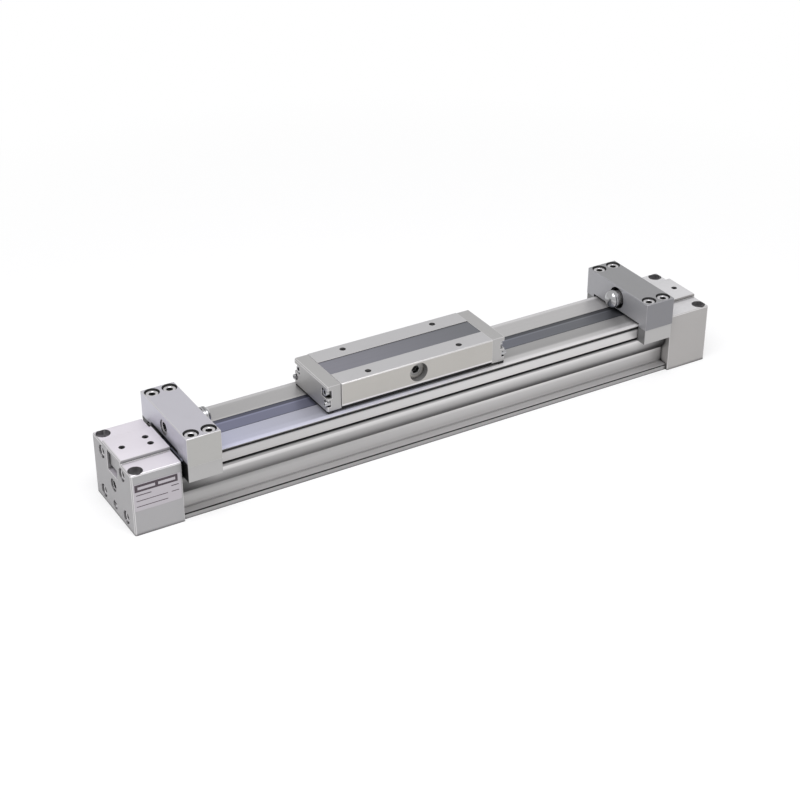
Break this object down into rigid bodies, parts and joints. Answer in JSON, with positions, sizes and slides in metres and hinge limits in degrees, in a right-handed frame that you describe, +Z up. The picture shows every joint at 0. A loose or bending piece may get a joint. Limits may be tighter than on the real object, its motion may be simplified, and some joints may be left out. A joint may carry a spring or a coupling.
{
  "type": "rodless pneumatic cylinder",
  "caption": "Rodless pneumatic cylinder with a slotted tube, seal belt and dust band, a carriage on the piston's yoke, and stroke adjusting stops.",
  "frame": {"origin": "under the middle of the tube, on the mounting plane", "axes": "+X along the tube towards the right head cover, +Y towards the air ports at the back, +Z up"},
  "size_m": [0.438, 0.0684, 0.0604],
  "materials": {
    "anodised_aluminium": "satin clear anodised",
    "stainless_band": "rolled",
    "zinc_steel": "zinc plated",
    "black_steel": "blackened",
    "bright_steel": "polished",
    "black_rubber": "matte",
    "belt_plastic": "smooth",
    "white_resin": "smooth",
    "magnet": "matte"
  },
  "bodies": {
    "cylinder": {"band_clamp_plates": "anodised_aluminium", "belt_clamp_blocks": "anodised_aluminium", "clamp_set_screws": "black_steel", "cover_bolts": "zinc_steel", "cushion_rings": "white_resin", "cylinder_tube": "anodised_aluminium", "dust_band": "stainless_band", "head_cover_left": "anodised_aluminium", "head_cover_right": "anodised_aluminium", "holder_clamps_left": "anodised_aluminium", "holder_clamps_right": "anodised_aluminium", "holder_screws_left": "zinc_steel", "holder_screws_right": "zinc_steel", "port_plugs": "zinc_steel", "seal_belt": "belt_plastic", "seal_magnets": "magnet", "stop_holder_left": "anodised_aluminium", "stop_holder_right": "anodised_aluminium", "stop_lock_screws": "zinc_steel", "tube_gaskets": "black_rubber"},
    "carriage": {"slide_table": "anodised_aluminium", "top_cover": "stainless_band", "end_cover_left": "anodised_aluminium", "end_cover_right": "anodised_aluminium", "end_cover_bolts": "bright_steel", "wiper_screws": "bright_steel", "side_plug": "black_steel", "slide_bearings": "white_resin", "side_scrapers": "black_rubber", "end_scrapers": "black_rubber", "piston_yoke": "anodised_aluminium", "yoke_bolts": "zinc_steel", "pistons": "anodised_aluminium", "piston_pins": "black_steel", "piston_seals": "black_rubber", "wear_rings": "white_resin", "cushion_seals": "black_rubber", "belt_separators": "white_resin", "roller_pins": "bright_steel", "sensor_magnets": "magnet"},
    "roller_left": {"guide_roller_left": "white_resin"},
    "roller_right": {"guide_roller_right": "white_resin"},
    "stop_left": {"stop_bolt_left": "bright_steel", "bumper_left": "bright_steel"},
    "stop_right": {"stop_bolt_right": "bright_steel", "bumper_right": "bright_steel"},
    "needle_left": {"cushion_needle_left": "zinc_steel"},
    "needle_right": {"cushion_needle_right": "zinc_steel"}
  },
  "joints": [
    {"name": "carriage_slide", "type": "slide", "parent": "cylinder", "child": "carriage", "axis": [1, 0, 0], "range_m": [-0.0702, 0.0992], "deforming": ["seal_belt", "dust_band"]},
    {"name": "roller_left_turn", "type": "hinge", "parent": "carriage", "child": "roller_left", "pos_m": [-0.0731, 0, 0.0435], "axis": [0, 1, 0], "continuous": true},
    {"name": "roller_right_turn", "type": "hinge", "parent": "carriage", "child": "roller_right", "pos_m": [0.0441, 0, 0.0435], "axis": [0, 1, 0], "continuous": true},
    {"name": "stop_left_adjust", "type": "slide", "parent": "cylinder", "child": "stop_left", "axis": [-1, 0, 0], "range_m": [0, 0.01]},
    {"name": "stop_right_adjust", "type": "slide", "parent": "cylinder", "child": "stop_right", "axis": [1, 0, 0], "range_m": [0, 0.01]},
    {"name": "needle_left_turn", "type": "hinge", "parent": "cylinder", "child": "needle_left", "pos_m": [-0.2112, 0, 0.0062], "axis": [-1, 0, 0], "range_deg": [0, 720]},
    {"name": "needle_right_turn", "type": "hinge", "parent": "cylinder", "child": "needle_right", "pos_m": [0.2112, 0, 0.0062], "axis": [1, 0, 0], "range_deg": [0, 720]}
  ],
  "couplings": [
    {"joint": "roller_left_turn", "follows": "carriage_slide", "rad_per_m": 344.83},
    {"joint": "roller_right_turn", "follows": "carriage_slide", "rad_per_m": 344.83}
  ]
}
